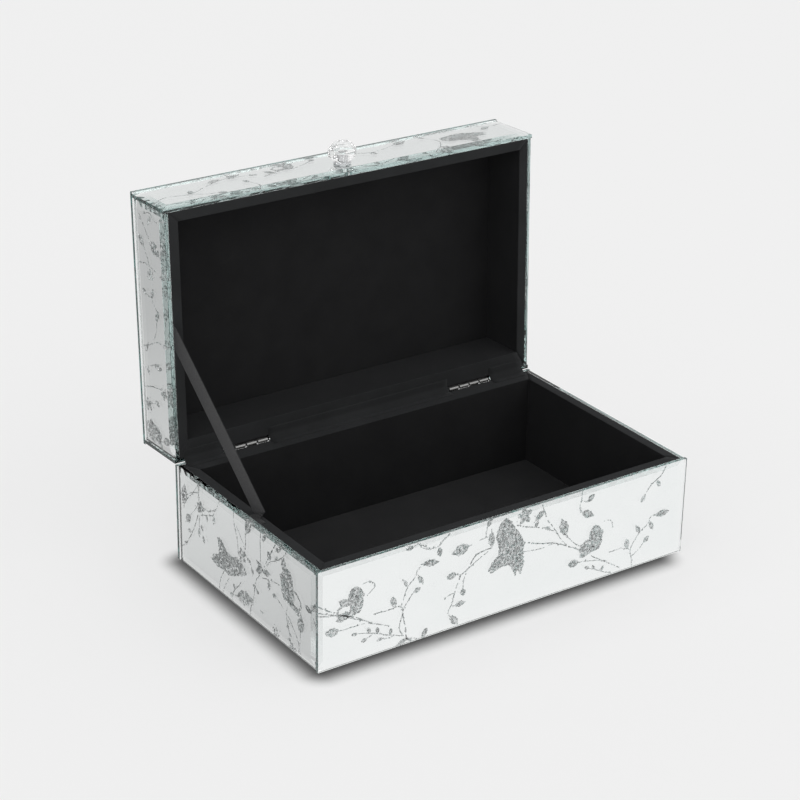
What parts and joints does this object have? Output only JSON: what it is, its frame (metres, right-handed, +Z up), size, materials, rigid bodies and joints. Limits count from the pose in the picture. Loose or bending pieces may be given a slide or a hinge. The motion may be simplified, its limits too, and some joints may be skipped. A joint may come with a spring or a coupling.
{
  "type": "trinket box",
  "caption": "Hinged box of bevelled mirror panes over lined boards, with a faceted crystal knob on the lid and a ribbon stay that holds it open.",
  "frame": {"origin": "middle of the resting face of the felt under the base", "axes": "+X to the right along the front, +Y to the back where the hinges are, +Z up; the lid is stored open"},
  "size_m": [0.25, 0.1946, 0.225],
  "materials": {
    "mirror_pane": "bevelled and polished, silvered on the back",
    "silvering": "mirror silvering seen through the glass",
    "glitter": "silver glitter behind the glass",
    "board": "fibreboard covered in black paper",
    "rim_cover": "black flocked strip",
    "lining": "black velour over card",
    "felt": "black felt",
    "ribbon": "black woven ribbon",
    "hinge_metal": "nickel plated",
    "rosette": "polished",
    "crystal": "clear, cut and polished"
  },
  "bodies": {
    "base": {"base_front_board": "board", "base_right_board": "board", "base_back_board": "board", "base_left_board": "board", "base_bottom_board": "board", "base_front_glass": "mirror_pane", "base_right_glass": "mirror_pane", "base_back_glass": "mirror_pane", "base_left_glass": "mirror_pane", "base_front_liner": "lining", "base_right_liner": "lining", "base_back_liner": "lining", "base_left_liner": "lining", "base_floor_pad": "lining", "base_front_rim_cover": "rim_cover", "base_right_rim_cover": "rim_cover", "base_back_rim_cover": "rim_cover", "base_left_rim_cover": "rim_cover", "underside_felt": "felt", "hinge_left_base_leaf": "hinge_metal", "hinge_right_base_leaf": "hinge_metal", "hinge_left_pin": "hinge_metal", "hinge_right_pin": "hinge_metal", "base_hinge_screws": "hinge_metal", "ribbon_stay": "ribbon", "ribbon_base_tail": "ribbon"},
    "lid": {"lid_front_board": "board", "lid_right_board": "board", "lid_back_board": "board", "lid_left_board": "board", "lid_top_board": "board", "lid_front_glass": "mirror_pane", "lid_right_glass": "mirror_pane", "lid_back_glass": "mirror_pane", "lid_left_glass": "mirror_pane", "lid_top_glass": "mirror_pane", "lid_front_liner": "lining", "lid_right_liner": "lining", "lid_back_liner": "lining", "lid_left_liner": "lining", "lid_ceiling_liner": "lining", "lid_front_rim_cover": "rim_cover", "lid_right_rim_cover": "rim_cover", "lid_back_rim_cover": "rim_cover", "lid_left_rim_cover": "rim_cover", "hinge_left_lid_leaf": "hinge_metal", "hinge_right_lid_leaf": "hinge_metal", "lid_hinge_screws": "hinge_metal", "knob_rosette": "rosette", "knob_crystal": "crystal", "knob_screw": "hinge_metal", "ribbon_lid_tail": "ribbon"}
  },
  "joints": [
    {"name": "lid_hinge", "type": "hinge", "parent": "base", "child": "lid", "pos_m": [0, 0.0751, 0.0624], "axis": [1, 0, 0], "range_deg": [0, 92], "deforming": ["ribbon_stay"]}
  ]
}
